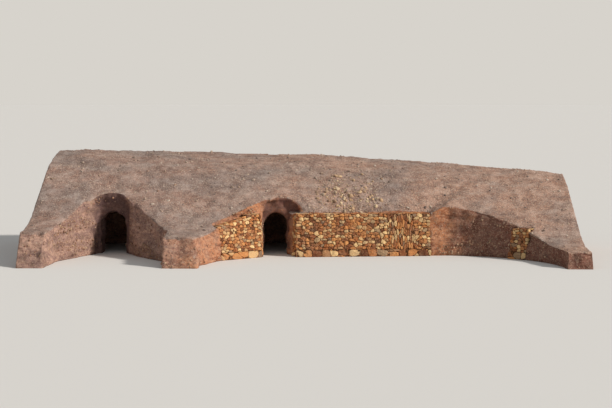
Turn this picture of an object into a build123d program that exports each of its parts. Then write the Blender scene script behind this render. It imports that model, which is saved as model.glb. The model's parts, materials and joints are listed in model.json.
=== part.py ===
from build123d import *
import math
import os

# A dwelling dug into an earth bank. Two vaulted rooms open through arched mouths. The west mouth
# stands at the end of a flared approach. The main mouth opens onto a court cut into the slope,
# and dry-stone walls face the court's cut sides.
# Sizes are in millimetres: x runs east, y into the hill, and z up from the court's floor.
# While it is modelled, y is 0 at the brow of the front embankment. The finished parts are moved
# so that the origin is at the middle of the bank's base.

# Ground surface: a section across the middle of the bank, which falls steadily to the east
BROW_HEIGHT = 880.0
FOOT_OF_SLOPE = (1500.0, 930.0)
FOOT_RADIUS = 5000.0
HEAD_OF_SLOPE = (6300.0, 3200.0)
HEAD_RADIUS = 9000.0
CREST_HEIGHT = 3720.0
EAST_FALL = 0.03
GROUND_MARGIN = 900.0

# Outline of the bank
WEST_END_LENGTH = 950.0
EAST_END_LENGTH = 1050.0
BACK_WEST_Y = 8700.0
BACK_CROWN_X = -1500.0
BACK_CROWN_Y = 9400.0
BACK_EAST_Y = 7000.0
TOE_Y = -850.0
EMBANKMENT_ANGLE = 52.0
CUTTER_HEIGHT = 6500.0
CUTTER_REACH = 1500.0

# Rooms
MOUTH_Y = 4100.0
FRONT_WALL = 800.0
VAULT_LEG = 400.0
BARREL_LENGTH = 1600.0
SPRING_HEIGHT = 950.0
CROWN_HEIGHT = 1900.0
WEST_ROOM_X = -7450.0
WEST_ROOM_WIDTH = 3000.0
MAIN_ROOM_X = -850.0
MAIN_ROOM_WIDTH = 3600.0
MOUTH_HEIGHT = 1600.0
WEST_MOUTH_WIDTH = 900.0
MAIN_MOUTH_X = -1210.0
MAIN_MOUTH_WIDTH = 940.0

# Hoods: round-topped recesses that flare outwards from the mouths
HOOD_LENGTH = 1500.0
WEST_HOOD_WIDTH = 1040.0
WEST_HOOD_HEIGHT = 2320.0
WEST_HOOD_FLARE = 24.0
MAIN_HOOD_X = -920.0
MAIN_HOOD_WIDTH = 1300.0
MAIN_HOOD_HEIGHT = 2130.0
MAIN_HOOD_LEG = 60.0
MAIN_HOOD_FLARE = 16.0

# Approach to the west room, from inside its hood out to its flared front
THROAT_Y = 3200.0
THROAT_WIDTH = 1700.0
FLARE_Y = 1300.0
FLARE_WEST = 1180.0
FLARE_EAST = 1700.0
APPROACH_SPLAY = 250.0
APPROACH_BATTER = 6.0

# Court, as the line of its faces at floor level
COURT_SOUTH_WEST = (-3750.0, 0.0)
LEFT_RUN_START = (-3100.0, 1700.0)
DOOR_WEST = (-1650.0, 2900.0)
DOOR_EAST = (-320.0, 2900.0)
COURT_CORNER = (5400.0, 3500.0)
COURT_SOUTH_EAST = (9250.0, 0.0)
ALCOVE_BULGE = 850.0
FACE_BATTER = 10.0
JAMB_BATTER = 3.0

# Where the bank ends, and where it is split beside the court
BANK_WEST_X = WEST_ROOM_X - WEST_ROOM_WIDTH / 2 - VAULT_LEG - WEST_END_LENGTH
BANK_EAST_X = COURT_SOUTH_EAST[0] + EAST_END_LENGTH
SPUR_SPLIT = 50.0
CORNER_SPLIT = 300.0

# Dry-stone walls
WALL_THICKNESS = 480.0
WALL_BACK_BATTER = 6.0
BACKFILL_SLOPE = 42.0
BACKFILL_SPLAY = 1.9
WALL_HEIGHT = 1600.0
LEFT_RUN_START_HEIGHT = 1230.0
FOOTING_HEIGHT = 260.0
FOOTING_PROJECTION = 60.0
TOP_COURSE = 170.0
PIER_LENGTH = 480.0
LONG_RUN_LENGTH = 5100.0
LONG_RUN_BAYS = ("west", "middle", "east")
JAMB_OVERRUN = 800.0
STUB_START = 0.45
STUB_END = 0.58
STUB_HEIGHT = 1120.0
TOP_OVERLAP = 100.0


def lean(angle):
    """How far a face leans for each unit of height."""
    return math.tan(math.radians(angle))


def air_above_ground():
    """Everything above the ground surface: a level brow, a steep middle and an easy crest."""
    front, back = TOE_Y - GROUND_MARGIN, BACK_CROWN_Y + GROUND_MARGIN
    ground = FilletPolyline(
        (front, BROW_HEIGHT), FOOT_OF_SLOPE, HEAD_OF_SLOPE, (back, CREST_HEIGHT),
        radius=[FOOT_RADIUS, HEAD_RADIUS])
    sky = Polyline((back, CREST_HEIGHT), (back, CUTTER_HEIGHT), (front, CUTTER_HEIGHT), (front, BROW_HEIGHT))
    west, east = BANK_WEST_X - GROUND_MARGIN, BANK_EAST_X + GROUND_MARGIN
    across = Plane(origin=(west, 0, -west * EAST_FALL), x_dir=(0, 1, 0), z_dir=(1, 0, -EAST_FALL))
    return extrude(across * make_face(ground + sky), amount=(east - west) * math.hypot(1, EAST_FALL))


def grown(outline, distance):
    """A clockwise outline with each side moved outwards by a distance."""
    corners = [Vector(*point) for point in outline]
    sides = [(corners[(i + 1) % len(corners)] - corner).normalized() for i, corner in enumerate(corners)]
    outwards = [Vector(-side.Y, side.X) for side in sides]
    return [
        corner + (outwards[i - 1] + outwards[i]) * (distance / (1 + outwards[i - 1].dot(outwards[i])))
        for i, corner in enumerate(corners)]


def raised(outline, batter, height=CUTTER_HEIGHT):
    """A cutter raised from a clockwise floor outline. Its sides lean outwards by the batter."""
    floor = make_face(Polyline(*outline, close=True))
    top = make_face(Polyline(*grown(outline, height * lean(batter)), close=True))
    return loft([floor, Pos(0, 0, height) * top], ruled=True)


def block(x_low, x_high, y_low, y_high, bottom=0.0):
    """An upright block that takes in everything between four planes, from the bottom up."""
    box = Box(x_high - x_low, y_high - y_low, CUTTER_HEIGHT, align=(Align.MIN, Align.MIN, Align.MIN))
    return Pos(x_low, y_low, bottom) * box


def bank_mass():
    """The whole bank before anything is dug: the ground under the surface, cut to its outline."""
    west, east = BANK_WEST_X, BANK_EAST_X
    outline = Polyline((east, BACK_EAST_Y), (east, TOE_Y), (west, TOE_Y), (west, BACK_WEST_Y))
    back = ThreePointArc((west, BACK_WEST_Y), (BACK_CROWN_X, BACK_CROWN_Y), (east, BACK_EAST_Y))
    sides = extrude(make_face(outline + back), amount=CUTTER_HEIGHT - GROUND_MARGIN, dir=(0, 0, 1))
    rise = CUTTER_HEIGHT
    run = rise / lean(EMBANKMENT_ANGLE)
    wedge = Plane.YZ.offset(west - CUTTER_REACH) * make_face(Polyline(
        (TOE_Y, 0), (TOE_Y + run, rise), (TOE_Y - CUTTER_REACH, rise), (TOE_Y - CUTTER_REACH, 0), close=True))
    return sides - air_above_ground() - extrude(wedge, amount=east - west + 2 * CUTTER_REACH)


def arch_face(width, spring, crown, base=0.0):
    """A doorway or vault section in x and z: upright sides and a round arch."""
    half = width / 2
    sides = Polyline((half, spring), (half, base), (-half, base), (-half, spring))
    arch = ThreePointArc((half, spring), (0, crown), (-half, spring))
    return make_face(sides + arch)


def upright(x, y):
    """A plane facing out of the hill, with its x along the bank and its y upwards."""
    return Plane(origin=(x, y, 0), x_dir=(1, 0, 0), z_dir=(0, -1, 0))


def room_void(centre_x, width):
    """The inside of a room: a barrel vault that runs into a round end wall."""
    half, front = width / 2, MOUTH_Y + FRONT_WALL
    apse = front + BARREL_LENGTH
    section = arch_face(width, SPRING_HEIGHT, CROWN_HEIGHT)
    barrel = extrude(upright(centre_x, front) * section, amount=BARREL_LENGTH + half, dir=(0, 1, 0))
    sides = Polyline(
        (centre_x + half, apse), (centre_x + half, front), (centre_x - half, front), (centre_x - half, apse))
    end = ThreePointArc((centre_x - half, apse), (centre_x, apse + half), (centre_x + half, apse))
    return barrel & extrude(make_face(sides + end), amount=CROWN_HEIGHT)


def mouth_void(centre_x, width):
    """The arched way through a room's front wall."""
    section = arch_face(width, MOUTH_HEIGHT - width / 2, MOUTH_HEIGHT)
    length = CUTTER_REACH + FRONT_WALL
    start = upright(centre_x, MOUTH_Y + FRONT_WALL - length)
    return extrude(start * section, amount=length, dir=(0, 1, 0))


def hood_void(centre_x, width, base, spring, crown, flare):
    """A recess that widens and rises from the mouth's plane towards the open air."""
    spread = HOOD_LENGTH * lean(flare)
    inner = arch_face(width, spring, crown, base)
    outer = arch_face(width + 2 * spread, spring, crown + spread, base)
    return loft([
        upright(centre_x, MOUTH_Y) * inner,
        upright(centre_x, MOUTH_Y - HOOD_LENGTH) * outer], ruled=True)


def approach_void():
    """The flared approach in front of the west hood."""
    throat, half = THROAT_WIDTH / 2, WEST_HOOD_WIDTH / 2
    x, front = WEST_ROOM_X, TOE_Y - CUTTER_REACH
    points = [
        (x - half - FLARE_WEST - APPROACH_SPLAY, front), (x - half - FLARE_WEST, FLARE_Y),
        (x - throat, THROAT_Y), (x + throat, THROAT_Y),
        (x + half + FLARE_EAST, FLARE_Y), (x + half + FLARE_EAST + APPROACH_SPLAY, front)]
    return raised(points, APPROACH_BATTER)


def doorway_void():
    """The way between the door piers, splayed towards the court, up to the hood."""
    height = WALL_HEIGHT + TOP_OVERLAP
    west, front = DOOR_WEST[0], DOOR_EAST[1] - CUTTER_REACH / 2
    back = MOUTH_Y - height * lean(JAMB_BATTER)
    east = MAIN_MOUTH_X + MAIN_MOUTH_WIDTH / 2
    splay = (DOOR_EAST[0] - east) / (back - DOOR_EAST[1])
    points = [(west, front), (west, back), (east, back), (east + splay * (back - front), front)]
    return raised(points, JAMB_BATTER, height)


def alcove_arc():
    """The curved face line on the court's east side, from the corner to its front end."""
    corner, end = Vector(*COURT_CORNER), Vector(*COURT_SOUTH_EAST)
    chord = end - corner
    outward = Vector(-chord.Y, chord.X).normalized()
    return ThreePointArc(corner, (corner + end) / 2 + outward * ALCOVE_BULGE, end)


def meeting_point(start, end, other_start, other_end):
    """Where the line through two points meets the line through two others."""
    line, other = Vector(*end) - Vector(*start), Vector(*other_end) - Vector(*other_start)
    gap = Vector(*other_start) - Vector(*start)
    place = gap.cross(other).Z / line.cross(other).Z
    meeting = Vector(*start) + line * place
    return meeting.X, meeting.Y


def court_void():
    """The open court: straight faces on its west and north sides, and a curved east side."""
    front, arc = TOE_Y - CUTTER_REACH, alcove_arc()
    turn = meeting_point(LEFT_RUN_START, DOOR_WEST, DOOR_EAST, COURT_CORNER)
    reach = Vector(*COURT_CORNER) - Vector(*DOOR_EAST)
    far = Vector(*COURT_CORNER) + reach
    straight = raised([
        (COURT_SOUTH_WEST[0], front), COURT_SOUTH_WEST, LEFT_RUN_START, turn,
        (far.X, far.Y), (far.X, front)], FACE_BATTER)
    curved = Pos(arc.arc_center) * Cone(
        arc.radius, arc.radius + CUTTER_HEIGHT * lean(FACE_BATTER), CUTTER_HEIGHT,
        align=(Align.CENTER, Align.CENTER, Align.MIN))
    west_part = block(BANK_WEST_X, arc.arc_center.X, front - CUTTER_REACH, BACK_CROWN_Y)
    return straight & (west_part + curved)


class WallRun:
    """A straight run of dry-stone facing, from start to end along the court's face line."""

    def __init__(self, start, end, length=None):
        self.start, span = Vector(*start), Vector(*end) - Vector(*start)
        self.along = span.normalized()
        self.inward = Vector(-self.along.Y, self.along.X)
        self.length = length or span.length

    def prism(self, section, low, high):
        """Extrudes a section, in distance into the bank and height, between two places on the run."""
        plane = Plane(origin=self.start + self.along * low, x_dir=self.inward, z_dir=self.along)
        return extrude(plane * make_face(Polyline(*section, close=True)), amount=high - low)

    def section(self, projection, height):
        """The wall's section: a battered face and a steeper back against the bank."""
        foot = -projection
        return [
            (foot, 0), (WALL_THICKNESS, 0),
            (WALL_THICKNESS + height * lean(WALL_BACK_BATTER), height),
            (foot + height * lean(FACE_BATTER), height)]

    def recess(self, low, high, top=CUTTER_HEIGHT):
        """The space cut in the bank for the wall, up to a height."""
        front, back = -CUTTER_REACH / 2, WALL_THICKNESS + top * lean(WALL_BACK_BATTER)
        section = [(front, 0), (WALL_THICKNESS, 0), (back, top), (front, top)]
        return self.prism(section, low, high)

    def slab(self, outline):
        """An outline in distance along the run and height, extruded right across the wall."""
        plane = Plane(origin=self.start - self.inward * CUTTER_REACH, x_dir=self.along, z_dir=-self.inward)
        return extrude(plane * make_face(Polyline(*outline, close=True)), amount=-3 * CUTTER_REACH)

    def trimmed_slope(self, low, high, top):
        """The space above the slope that rises from the back of the wall's top and from its far end."""
        back, rise = WALL_THICKNESS + top * lean(WALL_BACK_BATTER), CUTTER_HEIGHT - top
        behind, beyond = back + rise / lean(BACKFILL_SLOPE), high + rise * BACKFILL_SPLAY
        section = [(back, top), (behind, CUTTER_HEIGHT), (0, CUTTER_HEIGHT), (0, top)]
        outline = [(low, top), (high, top), (beyond, CUTTER_HEIGHT), (low, CUTTER_HEIGHT)]
        return self.prism(section, low, beyond) & self.slab(outline)

    def layer(self, low, high, bottom, top):
        """The slice of the wall between two heights, each given as (at low, at high)."""
        outline = [(low, bottom[0]), (high, bottom[1]), (high, top[1]), (low, top[0])]
        projection = FOOTING_PROJECTION if top[0] <= FOOTING_HEIGHT else 0
        return self.prism(self.section(projection, CUTTER_HEIGHT / 2), low, high) & self.slab(outline)

    def footing(self, low, high):
        """The foundation course of large stones."""
        return self.layer(low, high, (0, 0), (FOOTING_HEIGHT, FOOTING_HEIGHT))

    def body(self, low, high, top_low, top_high):
        """The wall between its footing and its top course."""
        bottom = (FOOTING_HEIGHT, FOOTING_HEIGHT)
        return self.layer(low, high, bottom, (top_low - TOP_COURSE, top_high - TOP_COURSE))

    def top(self, low, high, top_low, top_high):
        """The course of flat stones that finishes the wall."""
        return self.layer(low, high, (top_low - TOP_COURSE, top_high - TOP_COURSE), (top_low, top_high))


def left_wall(run, doorway):
    """The facing on the court's west side, lower at its front end, with a pier at the door."""
    def height(place):
        return LEFT_RUN_START_HEIGHT + (WALL_HEIGHT - LEFT_RUN_START_HEIGHT) * place / run.length
    pier, end = run.length - PIER_LENGTH, run.length + JAMB_OVERRUN
    parts = {
        "left_wall_footing": run.footing(0, end) - doorway,
        "left_wall_body": run.body(0, pier, height(0), height(pier)),
        "left_wall_top_course": run.top(0, pier, height(0), height(pier)),
    }
    parts["left_door_pier"] = run.layer(
        pier, end, (FOOTING_HEIGHT, FOOTING_HEIGHT), (WALL_HEIGHT, WALL_HEIGHT)) - doorway
    return parts


def long_wall(run, doorway):
    """The facing along the back of the court, in three bays, with a pier at the door."""
    parts = {
        "long_wall_footing": run.footing(-JAMB_OVERRUN, run.length) - doorway,
        "right_door_pier": run.layer(
            -JAMB_OVERRUN, PIER_LENGTH,
            (FOOTING_HEIGHT, FOOTING_HEIGHT), (WALL_HEIGHT, WALL_HEIGHT)) - doorway,
    }
    bay = (run.length - PIER_LENGTH) / len(LONG_RUN_BAYS)
    for number, name in enumerate(LONG_RUN_BAYS):
        low = PIER_LENGTH + number * bay
        parts[f"long_wall_{name}_bay"] = run.body(low, low + bay, WALL_HEIGHT, WALL_HEIGHT)
        parts[f"long_wall_{name}_top_course"] = run.top(low, low + bay, WALL_HEIGHT, WALL_HEIGHT)
    return parts


def stub_wall(run):
    """The short facing that is left near the front of the court's east side."""
    return {
        "stub_wall_footing": run.footing(0, run.length),
        "stub_wall_body": run.body(0, run.length, STUB_HEIGHT, STUB_HEIGHT),
        "stub_wall_top_course": run.top(0, run.length, STUB_HEIGHT, STUB_HEIGHT),
    }


def bank_parts(mass):
    """The dug bank as its walls, flanks, piers and vaults, split on upright planes."""
    west, east = BANK_WEST_X - CUTTER_REACH, BANK_EAST_X + CUTTER_REACH
    front, back = TOE_Y - CUTTER_REACH, BACK_CROWN_Y + CUTTER_REACH
    west_low = WEST_ROOM_X - WEST_ROOM_WIDTH / 2 - VAULT_LEG
    west_high = WEST_ROOM_X + WEST_ROOM_WIDTH / 2 + VAULT_LEG
    main_low = MAIN_ROOM_X - MAIN_ROOM_WIDTH / 2 - VAULT_LEG
    main_high = MAIN_ROOM_X + MAIN_ROOM_WIDTH / 2 + VAULT_LEG
    room_front = MOUTH_Y + FRONT_WALL
    apse = room_front + BARREL_LENGTH
    spur_end = LEFT_RUN_START[0] + SPUR_SPLIT
    corner = COURT_CORNER[0] - CORNER_SPLIT
    alcove_middle = (COURT_CORNER[0] + COURT_SOUTH_EAST[0]) / 2
    regions = {
        "west_end_bank": (west, west_low, front, back),
        "west_left_flank": (west_low, WEST_ROOM_X, front, MOUTH_Y),
        "west_right_flank": (WEST_ROOM_X, west_high, front, MOUTH_Y),
        "west_headwall": (west_low, west_high, MOUTH_Y, room_front),
        "west_room_vault": (west_low, west_high, room_front, apse),
        "west_room_apse_left": (west_low, WEST_ROOM_X, apse, back),
        "west_room_apse_right": (WEST_ROOM_X, west_high, apse, back),
        "middle_spur": (west_high, spur_end, front, MOUTH_Y),
        "middle_pier": (west_high, main_low, MOUTH_Y, back),
        "court_left_bank": (spur_end, MAIN_MOUTH_X, front, MOUTH_Y),
        "court_door_bank": (MAIN_MOUTH_X, main_high, front, MOUTH_Y),
        "main_headwall": (main_low, main_high, MOUTH_Y, room_front),
        "main_room_vault": (main_low, main_high, room_front, apse),
        "main_room_apse_left": (main_low, MAIN_ROOM_X, apse, back),
        "main_room_apse_right": (MAIN_ROOM_X, main_high, apse, back),
        "court_back_bank": (main_high, corner, front, back),
        "court_corner_bank": (corner, alcove_middle, front, back),
        "east_end_bank": (alcove_middle, east, front, back),
    }
    return {name: mass & block(*limits) for name, limits in regions.items()}


def main():
    """Builds every piece, moves the origin to the middle of the base, and writes the parts."""
    arc = alcove_arc()
    left_run = WallRun(LEFT_RUN_START, DOOR_WEST)
    long_run = WallRun(DOOR_EAST, COURT_CORNER, LONG_RUN_LENGTH)
    stub_start, stub_end = arc @ STUB_START, arc @ STUB_END
    stub_run = WallRun((stub_start.X, stub_start.Y), (stub_end.X, stub_end.Y))
    doorway = doorway_void()
    west_spring, main_spring = WEST_HOOD_HEIGHT - WEST_HOOD_WIDTH / 2, WALL_HEIGHT + MAIN_HOOD_LEG
    west_hood = hood_void(
        WEST_ROOM_X, WEST_HOOD_WIDTH, 0, west_spring, WEST_HOOD_HEIGHT, WEST_HOOD_FLARE)
    main_hood = hood_void(
        MAIN_HOOD_X, MAIN_HOOD_WIDTH, WALL_HEIGHT, main_spring, MAIN_HOOD_HEIGHT, MAIN_HOOD_FLARE)

    mass = bank_mass()
    whole = mass.bounding_box()
    voids = [
        court_void(), approach_void(), doorway, west_hood, main_hood,
        left_run.recess(0, left_run.length + JAMB_OVERRUN),
        long_run.recess(-JAMB_OVERRUN, long_run.length),
        long_run.trimmed_slope(-JAMB_OVERRUN, long_run.length, WALL_HEIGHT),
        stub_run.recess(0, stub_run.length, STUB_HEIGHT),
        room_void(WEST_ROOM_X, WEST_ROOM_WIDTH), mouth_void(WEST_ROOM_X, WEST_MOUTH_WIDTH),
        room_void(MAIN_ROOM_X, MAIN_ROOM_WIDTH), mouth_void(MAIN_MOUTH_X, MAIN_MOUTH_WIDTH),
    ]
    parts = bank_parts(mass.cut(*voids))
    parts.update(left_wall(left_run, doorway))
    parts.update(long_wall(long_run, doorway))
    parts.update(stub_wall(stub_run))

    to_origin = Pos(-whole.center().X, -whole.center().Y, 0)
    os.makedirs("parts", exist_ok=True)
    for name, part in parts.items():
        export_step(to_origin * part, f"parts/{name}.step")
    print("origin moved by", -whole.center().X, -whole.center().Y)


main()
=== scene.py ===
import json
import math
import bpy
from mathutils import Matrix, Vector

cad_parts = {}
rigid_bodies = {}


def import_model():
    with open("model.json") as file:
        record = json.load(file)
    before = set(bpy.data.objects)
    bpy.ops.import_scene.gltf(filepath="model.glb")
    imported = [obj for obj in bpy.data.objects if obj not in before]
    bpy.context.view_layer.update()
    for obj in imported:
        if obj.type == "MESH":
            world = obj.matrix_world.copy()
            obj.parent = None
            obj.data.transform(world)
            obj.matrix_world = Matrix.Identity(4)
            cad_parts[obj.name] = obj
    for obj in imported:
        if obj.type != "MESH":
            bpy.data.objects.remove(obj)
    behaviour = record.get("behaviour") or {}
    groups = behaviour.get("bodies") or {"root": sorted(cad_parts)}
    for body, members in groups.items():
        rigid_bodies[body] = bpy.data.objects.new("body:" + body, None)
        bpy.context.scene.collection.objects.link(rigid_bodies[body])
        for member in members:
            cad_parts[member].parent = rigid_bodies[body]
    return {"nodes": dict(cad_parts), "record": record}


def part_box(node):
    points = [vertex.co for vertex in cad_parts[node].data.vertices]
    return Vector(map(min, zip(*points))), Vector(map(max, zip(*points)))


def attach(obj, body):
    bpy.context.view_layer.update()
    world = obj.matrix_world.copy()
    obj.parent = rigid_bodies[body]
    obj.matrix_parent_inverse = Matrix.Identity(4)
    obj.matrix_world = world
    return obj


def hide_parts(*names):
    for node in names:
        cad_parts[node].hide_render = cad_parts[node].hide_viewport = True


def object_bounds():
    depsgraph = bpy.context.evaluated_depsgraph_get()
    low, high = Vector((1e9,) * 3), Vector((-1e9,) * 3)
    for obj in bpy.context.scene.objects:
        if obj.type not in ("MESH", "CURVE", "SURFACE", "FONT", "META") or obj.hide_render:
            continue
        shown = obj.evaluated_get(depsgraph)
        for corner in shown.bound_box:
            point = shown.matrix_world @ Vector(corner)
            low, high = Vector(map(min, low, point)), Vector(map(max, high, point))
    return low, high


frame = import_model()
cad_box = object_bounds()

from types import SimpleNamespace

import bmesh
import bpy
import numpy as np
from mathutils import Vector

# The looks of a dwelling dug into an earth bank: the eroded earth, the stones of the court's
# walls, and the gravel on the slope. Lengths are in metres, and places come from the frame.

BODY = "root"
BANK_WORDS = ("bank", "flank", "headwall", "vault", "apse", "middle_spur", "middle_pier")
BANK_NODES = sorted(name for name in frame["nodes"] if any(word in name for word in BANK_WORDS))
WALL_NODES = sorted(name for name in frame["nodes"] if name not in BANK_NODES)
LOW, HIGH = map(np.array, cad_box)


# Noise

# Whole numbers that scramble the places of a lattice
PLACE_FACTORS = (73856093, 19349663, 83492791)
SEED_FACTOR = 2654435761
SCRAMBLES = ((15, 2246822519), (13, 3266489917))
LAST_SHIFT = 16
WORD = 0xFFFFFFFF


def smooth(share):
    """Eases a share from 0 to 1, with level ends."""
    return share * share * (3 - 2 * share)


def ramp(values, low, high):
    """0 below low, 1 above high, and a smooth step between them."""
    return smooth(np.clip((values - low) / (high - low), 0, 1))


def lattice(cell, seed):
    """A repeatable value from -1 to 1 for each whole-number place."""
    mixed = cell.astype(np.uint64) * np.array(PLACE_FACTORS, np.uint64)
    key = mixed[:, 0] ^ mixed[:, 1] ^ mixed[:, 2] ^ np.uint64(seed * SEED_FACTOR)
    for shift, factor in SCRAMBLES:
        key = (key ^ (key >> np.uint64(shift))) * np.uint64(factor) & np.uint64(WORD)
    return (key ^ (key >> np.uint64(LAST_SHIFT))) / 2.0 ** 31 - 1


def noise(points, size, seed, stretch=(1, 1, 1)):
    """Smooth noise from -1 to 1 whose features have a given size, longer where stretched."""
    scaled = points / (size * np.array(stretch))
    cell = np.floor(scaled).astype(np.int64)
    share = smooth(scaled - cell)
    total = np.zeros(len(points))
    for corner in np.ndindex(2, 2, 2):
        weight = np.prod(np.where(corner, share, 1 - share), axis=1)
        total += weight * lattice(cell + np.array(corner), seed)
    return total


def fractal(points, size, octaves, seed, stretch=(1, 1, 1)):
    """Noise with finer and weaker noise on top of it."""
    total = np.zeros(len(points))
    for octave in range(octaves):
        total += noise(points, size / 2 ** octave, seed + octave, stretch) / 2 ** octave
    return total


def heights(points, height, **settings):
    """A height for each point, from noise."""
    return height * fractal(points, **settings)


# Meshes

def read_rows(items, key, width, kind):
    """The values of a mesh's items as rows."""
    values = np.empty(len(items) * width, kind)
    items.foreach_get(key, values)
    return values.reshape(-1, width)


def read_points(mesh, key):
    """The places or the normals of a mesh's points."""
    return read_rows(mesh.vertices, key, 3, np.float32).astype(float)


def moved_normals(mesh, points):
    """Moves a mesh's points, and gives their normals after it."""
    mesh.vertices.foreach_set("co", points.astype(np.float32).ravel())
    mesh.update()
    return read_points(mesh, "normal")


def in_scene(name, data):
    """A new object in the scene."""
    made = bpy.data.objects.new(name, data)
    bpy.context.scene.collection.objects.link(made)
    return made


def modified(mesh, kind, **settings):
    """The mesh after one modifier."""
    holder = in_scene("holder", mesh)
    modifier = holder.modifiers.new(kind, kind)
    for key, value in settings.items():
        setattr(modifier, key, value)
    depsgraph = bpy.context.evaluated_depsgraph_get()
    made = bpy.data.meshes.new_from_object(holder.evaluated_get(depsgraph))
    bpy.data.objects.remove(holder)
    return made


def new_mesh(name, points, faces):
    """A mesh from rows of points and arrays of faces, each with its own corner count."""
    mesh = bpy.data.meshes.new(name)
    counts = np.concatenate([np.full(len(group), group.shape[1]) for group in faces])
    corners = np.concatenate([group.ravel() for group in faces])
    mesh.vertices.add(len(points))
    mesh.vertices.foreach_set("co", np.asarray(points, np.float32).ravel())
    mesh.loops.add(len(corners))
    mesh.loops.foreach_set("vertex_index", corners.astype(np.int32))
    mesh.polygons.add(len(counts))
    starts = np.concatenate([[0], np.cumsum(counts)[:-1]])
    mesh.polygons.foreach_set("loop_start", starts.astype(np.int32))
    mesh.update(calc_edges=True)
    mesh.validate()
    return mesh


def add_values(mesh, name, values):
    """One number for each point, which the materials read."""
    attribute = mesh.attributes.new(name, "FLOAT", "POINT")
    attribute.data.foreach_set("value", np.asarray(values, np.float32))


def place_piece(name, mesh, material, replaced=()):
    """Puts a mesh in the scene, as a piece that moves with the dwelling."""
    piece = in_scene(name, mesh)
    mesh.materials.append(material)
    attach(piece, BODY)
    if replaced:
        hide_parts(*replaced)


# Materials: tones are on the usual 0 to 255 scale

# Ramps: pairs of a place on the ramp and the tone there
GROUND = (
    (0.30, (156, 141, 133)), (0.47, (170, 148, 137)), (0.56, (182, 150, 134)), (0.70, (166, 148, 138)))
GRAVEL = ((0.0, (88, 82, 80)), (0.35, (134, 126, 122)), (0.65, (148, 138, 132)), (1.0, (212, 200, 188)))
OCHRE_EARTH = (
    (0.30, (112, 68, 48)), (0.44, (166, 106, 74)), (0.55, (198, 136, 97)), (0.66, (148, 98, 74)),
    (0.76, (218, 170, 130)))
PALE_EARTH = (
    (0.30, (104, 80, 76)), (0.48, (152, 120, 109)), (0.60, (190, 151, 132)), (0.76, (134, 109, 102)))
SET_STONES = (
    (0.68, (112, 84, 72)), (0.80, (164, 128, 106)), (0.90, (142, 122, 110)), (1.0, (200, 172, 146)))
CORE_EARTH = ((0.35, (58, 38, 26)), (0.7, (112, 77, 50)))
GOLDEN_TONES = (
    (0.0, (100, 58, 40)), (0.20, (172, 104, 62)), (0.42, (214, 148, 90)),
    (0.60, (150, 92, 62)), (0.80, (242, 202, 144)), (1.0, (138, 110, 90)))
SLOPE_TONES = (
    (0.0, (104, 92, 88)), (0.3, (148, 132, 122)), (0.55, (172, 146, 130)),
    (0.8, (200, 184, 168)), (1.0, (140, 110, 94)))
PEBBLE_TONES = (
    (0.0, (118, 86, 70)), (0.35, (166, 124, 100)), (0.6, (146, 112, 94)),
    (0.85, (196, 164, 136)), (1.0, (120, 98, 88)))
RUBBLE_TONES = (
    (0.0, (122, 98, 84)), (0.3, (176, 146, 120)), (0.55, (204, 168, 130)),
    (0.8, (222, 196, 160)), (1.0, (150, 134, 122)))

# Tints: where a tone starts to show, where it shows most, how much it shows there, and the tone
STREAKS = ((0.50, 0.72, 0.55, (198, 178, 164)), (0.46, 0.30, 0.45, (134, 114, 106)))
GROUND_GRAINS = ((0.80, 0.98, 0.60, (210, 198, 184)), (0.16, 0.02, 0.60, (86, 76, 74)))
BLOTCHES = ((0.45, 0.70, 0.55, (146, 114, 98)),)
CLODS = ((0.48, 0.34, 0.80, (88, 60, 50)), (0.54, 0.68, 0.50, (204, 170, 140)))
EARTH_GRAINS = ((0.86, 0.98, 0.45, (206, 178, 150)),)
# Painted shade: the earth in the hoods round the headwalls is darkened to a purple brown, as shade falls in
# the recess
PAINTED_HOOD_TINT = ((0.25, 0.85, 0.7, (78, 56, 58)),)
MOTTLE = ((0.52, 0.75, 0.55, (222, 183, 128)), (0.46, 0.28, 0.60, (118, 76, 46)))
VEINS = ((0.60, 0.80, 0.35, (96, 66, 44)),)

# Single tones
WARM_GROUND = (199, 162, 140)
GROUND_GAPS = (112, 94, 86)
# Painted shade: a bluish dark multiplied into the ochre earth of the court's east side, which faces away from
# the sun
PAINTED_EAST_SHADE = (172, 174, 204)
DUST = (176, 148, 120)
PALE_FLOOR = (226, 222, 216)

# How far into the court's east side its painted shade starts and is full
PAINTED_SHADE_EDGES = (0.1, 1.3)

# How far behind the main headwall the back's tone is full
BACK_FADE = 2.0


def rgb(tone):
    """A tone in Blender's linear values."""
    shares = [value / 255 for value in tone]
    linear = [share / 12.92 if share <= 0.04045 else ((share + 0.055) / 1.055) ** 2.4 for share in shares]
    return (*linear, 1)


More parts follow.
